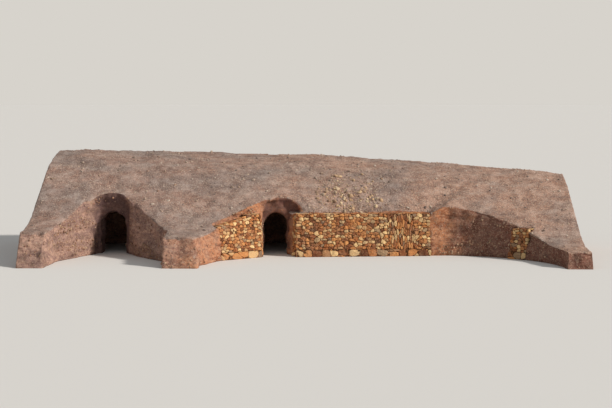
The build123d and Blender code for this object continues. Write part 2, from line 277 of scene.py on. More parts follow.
class Finish:
    """The nodes of one material."""

    def __init__(self, name, roughness, specular):
        self.material = bpy.data.materials.new(name)
        self.material.use_nodes = True
        self.nodes, self.links = self.material.node_tree.nodes, self.material.node_tree.links
        self.surface = self.nodes["Principled BSDF"]
        self.surface.inputs["Roughness"].default_value = roughness
        self.surface.inputs["Specular IOR Level"].default_value = specular
        self.place = self.add("TexCoord").outputs["Object"]

    def add(self, kind, inputs=(), **settings):
        """A new node, whose inputs are sockets to link or values to set."""
        node = self.nodes.new("ShaderNode" + kind)
        for key, value in settings.items():
            setattr(node, key, value)
        for key, value in dict(inputs).items():
            if isinstance(value, bpy.types.NodeSocket):
                self.links.new(value, node.inputs[key])
            else:
                node.inputs[key].default_value = value
        return node

    def noise(self, size, detail, roughness=0.55, stretch=None):
        """Noise from 0 to 1 whose features have a given size, longer where stretched."""
        place = self.place
        if stretch:
            shares = tuple(1 / length for length in stretch)
            place = self.add("Mapping", {"Vector": place, "Scale": shares}).outputs["Vector"]
        node = self.add("TexNoise", {
            "Vector": place, "Scale": 1 / size, "Detail": detail, "Roughness": roughness})
        return node.outputs["Fac"]

    def cells(self, size):
        """How far a place lies from the middle of its cell, and a number of the cell's own."""
        node = self.add("TexVoronoi", {"Vector": self.place, "Scale": 1 / size})
        split = self.add("SeparateColor", {"Color": node.outputs["Color"]})
        return node.outputs["Distance"], split.outputs["Red"]

    def value(self, name):
        """A number that the mesh holds for each point."""
        return self.add("Attribute", attribute_name=name).outputs["Fac"]

    def along(self, axis):
        """A coordinate of the object's own."""
        return self.add("SeparateXYZ", {"Vector": self.place}).outputs[axis]

    def band(self, value, low, high, start=0.0, end=1.0):
        """Goes from start to end as a value goes from low to high."""
        node = self.add("MapRange", {
            "Value": value, "From Min": low, "From Max": high, "To Min": start, "To Max": end})
        return node.outputs["Result"]

    def math(self, operation, first, second):
        """The result of a sum."""
        node = self.add("Math", {0: first, 1: second}, operation=operation)
        return node.outputs["Value"]

    def wandering(self, value, size, detail, reach):
        """A value that noise of a given size moves up and down."""
        return self.math("ADD", value, self.band(self.noise(size, detail=detail), 0.3, 0.7, -reach, reach))

    def colours(self, value, stops):
        """The colour of a ramp at a value."""
        node = self.add("ValToRGB", {"Fac": value})
        elements = node.color_ramp.elements
        while len(elements) < len(stops):
            elements.new(0.5)
        for element, (position, tone) in zip(elements, stops):
            element.position, element.color = position, rgb(tone)
        return node.outputs["Color"]

    def mix(self, share, first, second, blend="MIX"):
        """Two colours, sockets or tones, blended."""
        node = self.add("Mix", {"Factor": share}, data_type="RGBA", blend_type=blend)
        for socket, value in ((node.inputs[6], first), (node.inputs[7], second)):
            if isinstance(value, bpy.types.NodeSocket):
                self.links.new(value, socket)
            else:
                socket.default_value = rgb(value)
        return node.outputs[2]

    def tinted(self, colour, value, tints):
        """A colour with some tints mixed in."""
        for low, high, share, tone in tints:
            colour = self.mix(self.band(value, low, high, 0, share), colour, tone)
        return colour

    def finish(self, colour, *bumps):
        """The material with a colour, and with bumps of a height, a distance and a strength each."""
        normal = None
        for height, distance, strength in bumps:
            inputs = {"Height": height, "Distance": distance, "Strength": strength}
            if normal is not None:
                inputs["Normal"] = normal
            normal = self.add("Bump", inputs).outputs["Normal"]
        self.links.new(colour, self.surface.inputs["Base Color"])
        self.links.new(normal, self.surface.inputs["Normal"])
        return self.material


class BankFinish(Finish):
    """Gravel on the ground, and layered earth with set stones where the bank is dug."""

    def __init__(self):
        super().__init__("bank_ground_and_earth", roughness=0.95, specular=0.15)
        self.stone_reach, self.stone_tone = self.cells(size=0.055)
        self.grain_reach, self.grain_tone = self.cells(size=0.022)
        self.east, self.north = (
            self.wandering(self.along(axis), size=0.6, detail=3, reach=0.6) for axis in "XY")
        self.clods = self.noise(0.10, detail=6, roughness=0.72)
        self.strewn = self.band(self.noise(0.45, detail=3), 0.36, 0.60, 0.25, 1.0)
        self.set_stones = self.math(
            "MULTIPLY", self.band(self.stone_tone, 0.66, 0.70), self.band(self.stone_reach, 0.34, 0.42, 1, 0))
        self.dug = self.band(self.wandering(self.value("dug"), size=0.12, detail=4, reach=0.28), 0.38, 0.62)

    def ground(self):
        """Patches, warmer towards the court, with streaks, gravel and single grains."""
        patches = self.noise(2.6, detail=5, roughness=0.6)
        warm = self.math("MULTIPLY", self.band(patches, 0.36, 0.56, 0.15, 0.8), self.band(
            self.east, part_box("middle_spur")[0].x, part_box("main_headwall")[1].x))
        colour = self.mix(warm, self.colours(patches, GROUND), WARM_GROUND)
        streaks = self.noise(0.55, detail=5, roughness=0.6, stretch=(3.2, 1.0, 1.0))
        colour = self.tinted(colour, streaks, STREAKS)
        gravel = self.colours(self.stone_tone, GRAVEL)
        colour = self.mix(self.math("MULTIPLY", self.strewn, 0.85), colour, gravel, "SOFT_LIGHT")
        colour = self.tinted(colour, self.grain_tone, GROUND_GRAINS)
        between = self.math("MULTIPLY", self.strewn, self.band(self.stone_reach, 0.42, 0.62, 0, 0.60))
        return self.mix(between, colour, GROUND_GAPS)

    def earth(self):
        """Layers, pale in the west and ochre by the court, with painted shade on its east side and in the
        hoods, clods and stones.
        """
        layers = self.noise(0.24, detail=6, roughness=0.72, stretch=(3.5, 3.5, 1))
        ochre, pale = self.colours(layers, OCHRE_EARTH), self.colours(layers, PALE_EARTH)
        east_side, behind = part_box("court_corner_bank")[0].x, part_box("main_headwall")[1].y
        # Painted shade on the court's east side, which faces away from the sun
        painted_east_shade_share = self.band(self.east, east_side + PAINTED_SHADE_EDGES[0], east_side + PAINTED_SHADE_EDGES[1])
        by_court = self.band(self.east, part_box("middle_spur")[0].x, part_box("court_left_bank")[0].x)
        colour = self.mix(by_court, pale, ochre)
        colour = self.mix(painted_east_shade_share, colour, self.mix(1.0, ochre, PAINTED_EAST_SHADE, "MULTIPLY"))
        back = self.band(self.north, behind, behind + BACK_FADE)
        colour = self.mix(back, colour, self.mix(0.4, pale, ochre))
        colour = self.tinted(colour, self.noise(0.7, detail=5, roughness=0.6), BLOTCHES)
        colour = self.tinted(colour, self.clods, CLODS)
        colour = self.tinted(colour, self.grain_tone, EARTH_GRAINS)
        stones = self.colours(self.stone_tone, SET_STONES)
        colour = self.mix(self.math("MULTIPLY", self.set_stones, 0.75), colour, stones)
        # Painted shade in the hoods round the headwalls
        painted_hood_shade = self.wandering(self.value("painted_hood_shade"), size=0.4, detail=5, reach=0.4)
        return self.tinted(colour, painted_hood_shade, PAINTED_HOOD_TINT)

    def complete(self):
        """The whole material."""
        shown = self.math("MAXIMUM", self.math("SUBTRACT", 1.0, self.dug), self.set_stones)
        tops = self.math("MULTIPLY", self.band(self.stone_reach, 0.10, 0.52, 1, 0), shown)
        return self.finish(
            self.mix(self.dug, self.ground(), self.earth()),
            (self.noise(0.30, detail=8, roughness=0.7), 0.05, 0.5),
            (self.clods, 0.030, 0.6),
            (self.math("MULTIPLY", tops, self.strewn), 0.018, 0.8),
            (self.band(self.grain_reach, 0.10, 0.52, 1, 0), 0.006, 0.6))


def stone_material(name, stops, dust):
    """Rough field stone. Each stone has a tone of its own, with a mottled and pitted face."""
    look = Finish(name, roughness=0.9, specular=0.2)
    mottle = look.noise(0.05, detail=6, roughness=0.65)
    colour = look.tinted(look.colours(look.value("tone"), stops), mottle, MOTTLE)
    colour = look.tinted(colour, look.noise(0.35, detail=4), ((0.50, 0.72, dust, DUST),))
    colour = look.tinted(colour, look.noise(0.012, detail=3, roughness=0.7), VEINS)
    chips, _ = look.cells(size=0.055)
    pits = look.noise(0.014, detail=5, roughness=0.7)
    return look.finish(colour, (chips, 0.022, 0.55), (mottle, 0.02, 0.6), (pits, 0.005, 0.6))


def core_material():
    """The dark earth between a wall's stones."""
    look = Finish("wall_core_earth", roughness=1.0, specular=0.1)
    colour = look.colours(look.noise(0.08, detail=6, roughness=0.7), CORE_EARTH)
    return look.finish(colour, (look.noise(0.03, detail=6, roughness=0.7), 0.02, 0.8))


def floor_material():
    """A plain pale floor."""
    look = Finish("pale_floor", roughness=0.9, specular=0.1)
    look.surface.inputs["Base Color"].default_value = rgb(PALE_FLOOR)
    return look.material


# Bank: each stretch of it is one piece, which starts where a node starts

STRETCHES = {
    "west_dwelling_bank": "west_end_bank", "middle_bank": "middle_spur",
    "main_dwelling_bank": "court_left_bank", "court_bank": "court_back_bank",
    "east_bank": "court_corner_bank"}
CELL = 0.043
WELD = 1e-5
SOFTENING_ROUNDS = 6
GROUND_ROUNDS = 45

# How near a point is to the base, an end or the rooms' boxes to belong to them
BASE_SKIN = 0.008
END_SKIN = 0.03
ROOM_MARGIN = 0.5

# How much a face looks up where the ground starts, and where all of it is ground
GROUND_UP = (0.52, 0.80)

# The back looks this much north and less than this up, and starts this share of the way to its end
BACK_NORTH = 0.25
BACK_UP = 0.6
BACK_START = 0.45

# Ledges stand out where their noise is high, and the painted shade of the hoods reaches this far from the
# headwalls
LEDGE_HEIGHT = 0.036
LEDGE_SLOPE = 0.25
RIM_LOSS = 0.03
HOOD_REACH = 0.6

# The shares of a dug face's unevenness and of a rim's crumbling on the plain cut faces
CUT_SHARE = 0.25
CUT_RIM_SHARE = 0.3


def union_of_bank():
    """One closed mesh of all the bank's nodes."""
    copies = []
    for name in BANK_NODES:
        mesh = frame["nodes"][name].data.copy()
        mesh.materials.clear()
        edit = bmesh.new()
        edit.from_mesh(mesh)
        bmesh.ops.remove_doubles(edit, verts=edit.verts, dist=WELD)
        edit.to_mesh(mesh)
        edit.free()
        copies.append(mesh)
    others = bpy.data.collections.new("other_bank_parts")
    bpy.context.scene.collection.children.link(others)
    for mesh in copies[1:]:
        others.objects.link(bpy.data.objects.new("bank_part", mesh))
    joined = modified(
        copies[0], "BOOLEAN", operation="UNION", solver="EXACT", operand_type="COLLECTION", collection=others)
    for part in list(others.objects):
        bpy.data.objects.remove(part)
    bpy.data.collections.remove(others)
    return joined


def softened(points, edges, free, rounds):
    """Moves each free point halfway to its neighbours' mean, in each round."""
    count = len(points)
    first, second = edges[:, 0], edges[:, 1]
    links = np.maximum(np.bincount(edges.ravel(), minlength=count), 1)
    for _ in range(rounds):
        mean = np.stack([
            np.bincount(first, points[second, axis], count) + np.bincount(second, points[first, axis], count)
            for axis in range(3)], axis=1) / links[:, None]
        points = np.where(free[:, None], 0.5 * points + 0.5 * mean, points)
    return points


def on_ends(points):
    """Which points lie on the cut faces at the bank's two ends."""
    return np.abs(points[:, 0]) > HIGH[0] - END_SKIN


def inside_rooms(points):
    """Which points lie on the inside of the rooms."""
    found = np.zeros(len(points), bool)
    for opening in frame["record"]["physics"]["openings"]:
        if "room" in opening["name"]:
            low, high = map(np.array, opening["box_m"])
            low[1] += ROOM_MARGIN
            found |= np.all((points > low - ROOM_MARGIN) & (points < high + ROOM_MARGIN), axis=1)
    return found


def near_headwalls(points):
    """How near each point is to a headwall: 1 in its box, and 0 from the hoods' reach away."""
    nearest = np.full(len(points), np.inf)
    for name in BANK_NODES:
        if "headwall" in name:
            low, high = map(np.array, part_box(name))
            gaps = np.maximum(np.maximum(low - points, points - high), 0)
            nearest = np.minimum(nearest, np.linalg.norm(gaps, axis=1))
    return 1 - ramp(nearest, 0, HOOD_REACH)


def bank_relief(points, normals):
    """How far each point moves along its normal, and how much of a dug face it is."""
    ground = ramp(normals[:, 2], *GROUND_UP)
    dug = 1 - ground
    rim = 4 * ground * dug
    rooms = inside_rooms(points)
    back = (normals[:, 1] > BACK_NORTH) & (normals[:, 2] < BACK_UP)
    back &= (points[:, 1] > BACK_START * HIGH[1]) & ~rooms

    swells = heights(points, 0.060, size=1.8, octaves=3, seed=1)
    furrows = heights(points, 0.022, size=0.5, octaves=2, seed=5, stretch=(1, 3.5, 3.5))
    pits = heights(points, 0.020, size=0.2, octaves=1, seed=9)
    lumps = heights(points, 0.060, size=0.8, octaves=3, seed=21)
    hollows = np.abs(heights(points, 0.060, size=0.5, octaves=2, seed=25))
    layers = fractal(points, size=0.24, octaves=2, seed=31, stretch=(6, 6, 1))
    ledges = LEDGE_HEIGHT * ramp(layers, -LEDGE_SLOPE, LEDGE_SLOPE)
    rills = heights(points, 0.014, size=0.3, octaves=1, seed=35, stretch=(1, 1, 5))
    crumbs = heights(points, 0.028, size=0.2, octaves=1, seed=38)
    face = lumps - hollows + ledges + (rills + crumbs)
    crumbled = rim * (heights(points, 0.070, size=0.32, octaves=3, seed=51) - RIM_LOSS)
    inside = heights(points, 0.020, size=0.3, octaves=3, seed=41)

    relief = ground * (swells + furrows + pits) + dug * face + crumbled
    relief = np.where(rooms, inside, relief)
    plain = -np.abs(CUT_SHARE * face) - CUT_RIM_SHARE * crumbled
    return np.where(on_ends(points) | back, plain, relief), dug


def eroded_bank():
    """The bank after erosion, with all its faces and those above its base."""
    mesh = modified(union_of_bank(), "REMESH", mode="VOXEL", voxel_size=CELL)
    points, normals = read_points(mesh, "co"), read_points(mesh, "normal")
    edges = read_rows(mesh.edges, "vertices", 2, np.int32)
    quads = read_rows(mesh.loops, "vertex_index", 1, np.int32).reshape(-1, 4)
    grounded = points[:, 2] < LOW[2] + BASE_SKIN
    free = ~(on_ends(points) | grounded)
    points = softened(points, edges, free, SOFTENING_ROUNDS)
    points = softened(points, edges, free & (normals[:, 2] > GROUND_UP[1]), GROUND_ROUNDS)
    normals = moved_normals(mesh, points)
    relief, dug = bank_relief(points, normals)
    moves = normals * relief[:, None]
    moves[grounded] = 0
    moves[:, 2] *= ramp(points[:, 2] - LOW[2], 0.0, 2 * CELL)
    points = points + moves
    points[grounded, 2] = LOW[2]
    normals = moved_normals(mesh, points)
    upper = quads[~grounded[quads].all(axis=1)]
    return SimpleNamespace(
        points=points, quads=quads, upper=upper, normals=normals, dug=dug, grounded=grounded)


def outline_loops(faces, count):
    """The closed loops of points along the open border of some faces."""
    edges = np.vstack([faces[:, [side, (side + 1) % 4]] for side in range(4)]).astype(np.int64)
    paired = np.isin(edges[:, 0] * count + edges[:, 1], edges[:, 1] * count + edges[:, 0])
    follows = {second: first for first, second in edges[~paired].tolist()}
    loops = []
    while follows:
        loop = [next(iter(follows))]
        after = follows.pop(loop[0])
        while after != loop[0]:
            loop.append(after)
            after = follows.pop(after)
        loops.append(np.array(loop))
    return loops


def bank_stretches(bank, material):
    """Splits the bank above its base into stretches, which each stand for the nodes in them."""
    middles = bank.points[bank.upper].mean(axis=1)[:, 0]
    starts = [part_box(node)[0].x for node in STRETCHES.values()]
    places = {node: sum(corner.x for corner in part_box(node)) / 2 for node in BANK_NODES}
    for index, name in enumerate(STRETCHES):
        chosen = bank.upper[np.searchsorted(starts[1:], middles) == index]
        used, local = np.unique(chosen, return_inverse=True)
        mesh = new_mesh(name, bank.points[used], [local.reshape(-1, 4)])
        mesh.shade_smooth()
        add_values(mesh, "dug", bank.dug[used])
        # The nearness to the headwalls, which paints shade in the hoods
        add_values(mesh, "painted_hood_shade", near_headwalls(bank.points[used]))
        mesh.normals_split_custom_set_from_vertices(bank.normals[used])
        replaced = [node for node, x in places.items() if np.searchsorted(starts[1:], x) == index]
        place_piece(name, mesh, material, replaced)


def bank_base(bank, material):
    """The flat base, within the lowest points of the stretches."""
    loops = outline_loops(bank.upper, len(bank.points))
    outline = bank.points[np.concatenate(loops)]
    numbers = np.split(np.arange(len(outline)), np.cumsum([len(loop) for loop in loops])[:-1])
    base = new_mesh("bank_base", outline, [number[None] for number in numbers])
    add_values(base, "dug", np.ones(len(outline)))
    # No painted hood shade on the base
    add_values(base, "painted_hood_shade", np.zeros(len(outline)))
    place_piece("bank_base", base, material)


# Walls

FRONT = (0, -1, 0.1)
LEFT_WALL_FRONT = (0.6, -0.75, 0.1)
STUB_WALL_FRONT = (-0.7, -0.7, 0.1)
EAST, WEST, SKY = (1, 0, 0), (-1, 0, 0), (0, 0, 1)

# Styles of stone, whose size is the length and the height
RUBBLE = dict(size=(0.165, 0.115), gap=0.016, depth=0.09, proud=0.042)
UPRIGHT = dict(size=(0.085, 0.26), gap=0.014, depth=0.09, proud=0.042)
FOOTING = dict(size=(0.36, 0.27), gap=0.018, depth=0.10, proud=0.065)
SLABS = dict(size=(0.34, 0.25), gap=0.008, depth=0.07, proud=0.022)

# Small stones in the gaps, which may tuck a little under the large ones
CHINKS = dict(per_area=270, sizes=(0.035, 0.085), tuck=0.018, levels=(-0.014, 0.006), tones=(0.0, 0.3))

# Upright stones stand between these shares of the long wall. Stones wrap round a wall's ends.
UPRIGHT_STRETCH = (0.68, 0.87)
SLANT = 0.12
WRAP = 0.035

# A smaller facet counts for less, and facets within the cosine make one face. Where its level
# axis is shorter than a side's, it is a top.
SMALL_FACET = 0.005
SAME_FACING = 0.9995
END_WIDTH = 0.02
SIDE_LEVEL = 0.5

# Layout: a seed strays by shares of a step, and the smallest cell is a share of a stone's size
SEED_SPREAD = 0.36
LEFT_OUT = 0.1
NEIGHBOURS = 14
SMALLEST_CELL = 0.12
SETTING = (-0.004, 0.010)
SHORTEST_EDGE = 1e-6

# Shape of a stone: corner cuts are shares of an edge, and bulges are shares of the proud height
RIM_POINTS = 16
FIRST_CUT = (0.10, 0.22)
SECOND_CUT = 0.25
BULGES = (0.55, 1.15)
FULL_BULGE_REACH = 0.13
LEAST_BULGE = 0.25
TILT = 0.16
FACETS = dict(count=4, slope=0.6, tops=(0.55, 0.95))
LOWEST_FRONT = 0.2

# Rings of a stone from its back edge inwards: the scale, and the level, which is 0 on the face,
# 1 on the top of the bulge and below 0 at the back
RINGS = ((1.0, -1.0), (1.0, 0.15), (0.95, 0.6), (0.84, 0.88), (0.60, 0.97), (0.30, 1.0))
MIDDLE = (0.0, 1.0)

# The roughness of the stones is moved by each stone's tone, so that no two are alike
CHIPPING_SEED = 70
TONE_SHIFT = 40


class Face:
    """A plane face of some nodes, with a level axis, an axis up the face and its outline."""

    def __init__(self, nodes, towards, grow=0.0):
        towards = Vector(towards).normalized()
        meshes = [frame["nodes"][node].data for node in nodes]
        facets = [(mesh, polygon) for mesh in meshes for polygon in mesh.polygons]
        scores = [facet.normal.dot(towards) * min(1, facet.area / SMALL_FACET) for _, facet in facets]
        self.out = facets[scores.index(max(scores))][1].normal.normalized()
        corners = [
            mesh.vertices[index].co.copy() for mesh, facet in facets
            if facet.normal.dot(self.out) > SAME_FACING for index in facet.vertices]
        level = Vector((-self.out.y, self.out.x, 0))
        if level.length < SIDE_LEVEL:
            level = Vector((1, 0, 0)) - self.out * self.out.x
        self.along = level.normalized()
        self.up = self.out.cross(self.along)
        self.origin = corners[0]
        offsets = [corner - self.origin for corner in corners]
        flat = np.array([[offset.dot(self.along), offset.dot(self.up)] for offset in offsets])
        left, right = flat[:, 0].min(), flat[:, 0].max()
        flat[flat[:, 0] < left + END_WIDTH, 0] -= grow
        flat[flat[:, 0] > right - END_WIDTH, 0] += grow
        self.outline = convex_outline(flat)

    def to_space(self, flat, levels):
        """Points in the frame from places on the face and their levels above it."""
        axes = np.array([self.along, self.up, self.out])
        return np.array(self.origin) + np.column_stack([flat, levels]) @ axes


def cross(start, end, point):
    """Twice the area of a flat triangle, above 0 where it turns anticlockwise."""
    return (end[0] - start[0]) * (point[1] - start[1]) - (end[1] - start[1]) * (point[0] - start[0])


def convex_outline(flat):
    """The convex outline of some flat points, anticlockwise."""
    ordered = sorted(set(map(tuple, np.round(flat, 5))))
    halves = []
    for run in (ordered, ordered[::-1]):
        half = []
        for point in run:
            while len(half) > 1 and cross(half[-2], half[-1], point) <= 0:
                half.pop()
            half.append(point)
        halves += half[:-1]
    return np.array(halves)


def clipped(outline, normal, limit):
    """The part of a convex outline where normal times point is below a limit."""
    if len(outline) == 0:
        return outline
    sides = outline @ normal - limit
    kept = []
    for index, point in enumerate(outline):
        after = (index + 1) % len(outline)
        if sides[index] <= 0:
            kept.append(point)
        if (sides[index] <= 0) != (sides[after] <= 0):
            share = sides[index] / (sides[index] - sides[after])
            kept.append(point + (outline[after] - point) * share)
    return np.array(kept)


def band_of(outline, low, high):
    """The part of an outline between two places along its first axis, with slanting ends."""
    across = np.array([1.0, SLANT]) / math.hypot(1, SLANT)
    return clipped(clipped(outline, across, high), -across, -low)


def area_of(outline):
    """The area in an outline."""
    x, y = outline[:, 0], outline[:, 1]
    return abs(np.dot(x, np.roll(y, -1)) - np.dot(y, np.roll(x, -1))) / 2


def depth_inside(outline, flat):
    """How deep each flat point lies inside a convex outline, negative outside it."""
    edges = zip(outline, np.roll(outline, -1, axis=0))
    depths = [cross(start, end, flat.T) / max(math.dist(start, end), SHORTEST_EDGE) for start, end in edges]
    return np.min(depths, axis=0)


def scattered_seeds(outline, size, chance):
    """Places in uneven rows, about a stone apart, over an outline and just past it."""
    low, high = outline.min(axis=0), outline.max(axis=0)
    columns, rows = (max(1, round(span / length)) for span, length in zip(high - low, size))
    step = (high - low) / (columns, rows)
    seeds = []
    for row in range(-1, rows + 1):
        shift = chance.uniform(0, 1)
        for column in range(-1, columns + 1):
            spread = chance.uniform(-SEED_SPREAD, SEED_SPREAD, 2)
            if chance.uniform() > LEFT_OUT:
                seeds.append(low + step * (column + 0.5 + shift * 0.5 + spread[0], row + 0.5 + spread[1]))
    return np.array(seeds)


def stone_outlines(outline, size, gap, chance):
    """Cells around scattered seeds, each cut back by half the gap, in a convex outline."""
    seeds = scattered_seeds(outline, size, chance)
    shape = 1 / np.array(size)
    cells = []
    for seed in seeds:
        offsets = (seeds - seed) * shape
        nearest = np.argsort((offsets ** 2).sum(axis=1))[1:NEIGHBOURS + 1]
        cell = outline
        for other in nearest:
            normal = (seeds[other] - seed) * shape ** 2
            length = np.linalg.norm(normal)
            middle = (seeds[other] + seed) / 2
            cell = clipped(cell, normal / length, middle @ normal / length - gap / 2)
        if len(cell) > 2:
            cells.append(cell)
    return cells


def rounded_rim(outline, chance):
    """A convex outline with its corners cut round, as evenly spaced points."""
    for share in (chance.uniform(*FIRST_CUT), SECOND_CUT):
        after = np.roll(outline, -1, axis=0)
        outline = np.stack([outline + (after - outline) * share, after + (outline - after) * share], 1)
        outline = outline.reshape(-1, 2)
    closed = np.vstack([outline, outline[:1]])
    travel = np.concatenate([[0], np.cumsum(np.linalg.norm(np.diff(closed, axis=0), axis=1))])
    places = np.linspace(0, travel[-1], RIM_POINTS, endpoint=False)
    return np.column_stack([np.interp(places, travel, closed[:, axis]) for axis in range(2)])


def stone(face, outline, depth, proud, chance):
    """The points of one stone: rings from its back edge to its bulging front, and a middle."""
    rim = rounded_rim(outline, chance)
    centre = rim.mean(axis=0)
    reach = np.sqrt(area_of(rim))
    bulge = proud * chance.uniform(*BULGES) * min(1, reach / FULL_BULGE_REACH + LEAST_BULGE)
    tilt = chance.uniform(-TILT, TILT, 2)
    facets = [
        (chance.uniform(-FACETS["slope"], FACETS["slope"], 2), chance.uniform(*FACETS["tops"]))
        for _ in range(FACETS["count"])]
    flats, levels = [], []
    for scale, level in RINGS + (MIDDLE,):
        ring = centre + (rim - centre) * scale if scale else centre[None]
        height = np.full(len(ring), -depth if level < 0 else bulge * level)
        if level >= 0:
            offset = ring - centre
            for slope, top in facets:
                height = np.minimum(height, bulge * top + offset @ slope)
            height = np.maximum(height, LOWEST_FRONT * bulge) + offset @ tilt * level
        flats.append(ring)
        levels.append(height)
    return face.to_space(np.vstack(flats), np.concatenate(levels))


def stone_faces():
    """The faces that join one stone's points."""
    along = np.arange(RIM_POINTS)
    after = np.roll(along, -1)
    starts = np.arange(len(RINGS)) * RIM_POINTS
    quads = [
        np.column_stack([outer + along, outer + after, inner + after, inner + along])
        for outer, inner in zip(starts, starts[1:])]
    middle = np.full(RIM_POINTS, len(RINGS) * RIM_POINTS)
    return np.vstack(quads), np.column_stack([starts[-1] + along, starts[-1] + after, middle])


class StonePile:
    """Collects the stones of a wall, and the chinks that fill the gaps between them."""

    def __init__(self, seed):
        self.chance = np.random.default_rng(seed)
        self.stones, self.tones, self.chinks = [], [], []

    def cover(self, face, style, shift=0.0, outline=None):
        """Lays stones of a style over a face, or over a part of it."""
        region = face.outline if outline is None else outline
        cells = stone_outlines(region, style["size"], style["gap"], self.chance)
        smallest = SMALLEST_CELL * style["size"][0] * style["size"][1]
        cells = [cell for cell in cells if area_of(cell) > smallest]
        for cell in cells:
            made = stone(face, cell, style["depth"], style["proud"], self.chance)
            self.stones.append(made + np.array(face.out) * (shift + self.chance.uniform(*SETTING)))
            self.tones.append(self.chance.uniform())
        self.chink(face, region, cells)

    def cover_top(self, nodes):
        """Lays two layers of flat stones over a wall's top."""
        top = Face(nodes, SKY)
        self.cover(top, SLABS, shift=-SLABS["depth"])
        self.cover(top, SLABS)

    def chink(self, face, region, cells):
        """Scatters small stones on a face, in the gaps between the large ones."""
        low, high = region.min(axis=0), region.max(axis=0)
        count = int(CHINKS["per_area"] * np.prod(high - low))
        flat = self.chance.uniform(low, high, (count, 2))
        flat = flat[depth_inside(region, flat) > 0]
        for cell in cells:
            flat = flat[depth_inside(cell, flat) < CHINKS["tuck"]]
        sizes = self.chance.uniform(*CHINKS["sizes"], len(flat))
        places = face.to_space(flat, self.chance.uniform(*CHINKS["levels"], len(flat)))
        self.chinks.append((places, np.tile(np.array(face.out), (len(flat), 1)), sizes))

    def place(self, name, material):
        """Puts the wall's stones and its chinks in the scene."""
        points = np.vstack(self.stones)
        per_stone = len(self.stones[0])
        tones = np.repeat(self.tones, per_stone)
        keys = points + tones[:, None] * TONE_SHIFT
        points += np.column_stack([
            heights(keys, 0.008, size=0.055, octaves=3, seed=CHIPPING_SEED + axis)
            for axis in range(3)])
        points[:, 2] = np.maximum(points[:, 2], LOW[2])
        offsets = np.arange(len(self.stones))[:, None, None] * per_stone
        mesh = new_mesh(name, points, [
            (group[None] + offsets).reshape(-1, group.shape[1]) for group in stone_faces()])
        mesh.shade_smooth()
        add_values(mesh, "tone", tones)
        place_piece(name, mesh, material)
        places, normals, sizes = (np.concatenate(group) for group in zip(*self.chinks))
        chinks = gravel_mesh(name + "_chinks", places, normals, sizes, 1, self.chance, CHINKS["tones"])
        place_piece(name + "_chinks", chinks, material)


def long_wall_stones(material):
    """The wall along the back of the court, with upright stones towards its east end."""
    pile = StonePile(seed=101)
    courses = [name for name in WALL_NODES if name.startswith("long_wall") and "footing" not in name]
    wall = Face(courses + ["right_door_pier"], FRONT, WRAP)
    low, high = wall.outline[:, 0].min(), wall.outline[:, 0].max()
    edges = [-math.inf, *(low + share * (high - low) for share in UPRIGHT_STRETCH), math.inf]
    for style, start, end in zip((RUBBLE, UPRIGHT, RUBBLE), edges, edges[1:]):
        pile.cover(wall, style, outline=band_of(wall.outline, start, end))
    pile.cover(Face(["right_door_pier"], WEST), RUBBLE)
    pile.cover(Face(["long_wall_footing"], FRONT, WRAP), FOOTING)
    pile.cover(Face(["long_wall_footing"], WEST), FOOTING)
    pile.cover_top([name for name in courses if "top" in name] + ["right_door_pier"])
    pile.place("long_wall_stones", material)


def left_wall_stones(material):
    """The wall on the court's west side and its door pier."""
    pile = StonePile(seed=102)
    wall = Face(["left_wall_body", "left_wall_top_course", "left_door_pier"], LEFT_WALL_FRONT, WRAP)
    pile.cover(wall, RUBBLE)
    pile.cover(Face(["left_door_pier"], EAST), RUBBLE)
    pile.cover(Face(["left_wall_footing"], LEFT_WALL_FRONT, WRAP), FOOTING)
    pile.cover(Face(["left_wall_footing"], EAST), FOOTING)
    pile.cover_top(["left_wall_top_course"])
    pile.cover_top(["left_door_pier"])
    pile.place("left_wall_stones", material)


def stub_wall_stones(material):
    """The short wall near the front of the court's east side."""
    pile = StonePile(seed=103)
    pile.cover(Face(["stub_wall_body", "stub_wall_top_course"], STUB_WALL_FRONT, WRAP), RUBBLE)
    pile.cover(Face(["stub_wall_footing"], STUB_WALL_FRONT, WRAP), FOOTING)
    pile.cover_top(["stub_wall_top_course"])
    pile.place("stub_wall_stones", material)


# Loose stones, with the smallest and the largest size of each kind

SLOPE_GRAVEL = dict(count=8600, rounds=1, sizes=(0.02, 0.06))
SLOPE_STONES = dict(count=800, rounds=2, sizes=(0.06, 0.17))
FACE_PEBBLES = dict(count=2600, rounds=1, sizes=(0.025, 0.13))
WALL_RUBBLE = dict(count=260, rounds=2, sizes=(0.06, 0.22))

ROCK_KINDS = 6
ROCK_CUTS = 9
CUT_DEPTHS = (0.26, 0.42)
ROCK_WIDTHS = (0.7, 1.0)
ROCK_HEIGHTS = (0.5, 0.8)
LEAN = 0.25
SMALL_BIAS = 1.6
SINKING = (-0.12, 0.12)

# Where they lie: a rim and a dug face start at these dug shares
RIM_START = 0.15
DUG_START = 0.6
PATCHES_MEAN = 0.55
PATCHES_LEAST = 0.05
BEDS_LEAST = 0.08
BEDS_FULL = 0.6
FACING_BACK = 0.5
HEADWALL_THINNING = 0.75
END_CLEARANCE = 0.1

# Rubble above the long wall: a heap whose middle is a share of the way along the wall
RUBBLE_REACH = 2.6
RUBBLE_SHARE = 2.5
HEAP_MIDDLE = 0.33
HEAP_HALF_WIDTH = 1.6
HEAP_EDGE = 1.4


def rock_shape(rounds, chance):
    """An angular pebble about 1 across: a ball cut back by random planes."""
    edit = bmesh.new()
    bmesh.ops.create_icosphere(edit, subdivisions=rounds, radius=0.5)
    points = np.array([vertex.co for vertex in edit.verts])
    triangles = np.array([[vertex.index for vertex in face.verts] for face in edit.faces])
    edit.free()
    for _ in range(ROCK_CUTS):
        facing = chance.normal(size=3)
        facing /= np.linalg.norm(facing)
        beyond = np.maximum(points @ facing - chance.uniform(*CUT_DEPTHS), 0)
        points -= beyond[:, None] * facing
    return points * (1.0, chance.uniform(*ROCK_WIDTHS), chance.uniform(*ROCK_HEIGHTS)), triangles


